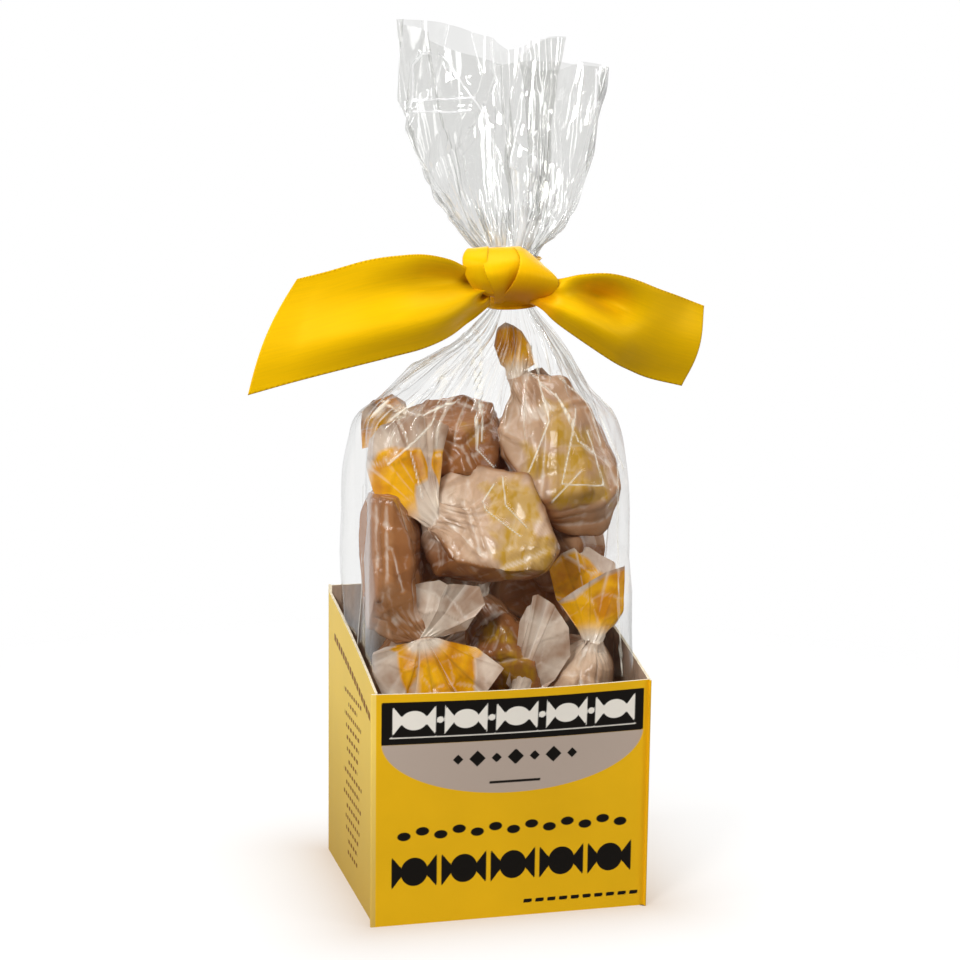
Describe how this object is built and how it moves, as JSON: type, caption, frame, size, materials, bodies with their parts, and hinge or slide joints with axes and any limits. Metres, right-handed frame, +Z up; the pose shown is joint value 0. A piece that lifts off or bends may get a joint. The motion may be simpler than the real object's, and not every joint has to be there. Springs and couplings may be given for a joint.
{
  "type": "gift bag of wrapped caramels",
  "caption": "Clear cellophane gift bag of twist-wrapped caramels, tied with a wide satin ribbon and standing in an open printed card carton with sloped sides.",
  "frame": {"origin": "centre of the carton's underside, on the surface that it stands on", "axes": "+Z up; the carton's low front wall faces -Y and its tall back wall faces +Y"},
  "size_m": [0.1042, 0.0559, 0.199],
  "materials": {
    "carton_card": "printed and varnished carton board, yellow outside and brown inside",
    "clear_film": "thin clear cellophane with sharp creases",
    "satin_ribbon": "double-faced satin, woven edges",
    "waxed_paper": "translucent waxed paper with a printed yellow band",
    "caramel": "soft satin caramel, seen through the paper"
  },
  "bodies": {
    "root": {"carton": "carton_card", "bag": "clear_film", "ribbon": "satin_ribbon"}
  },
  "joints": []
}
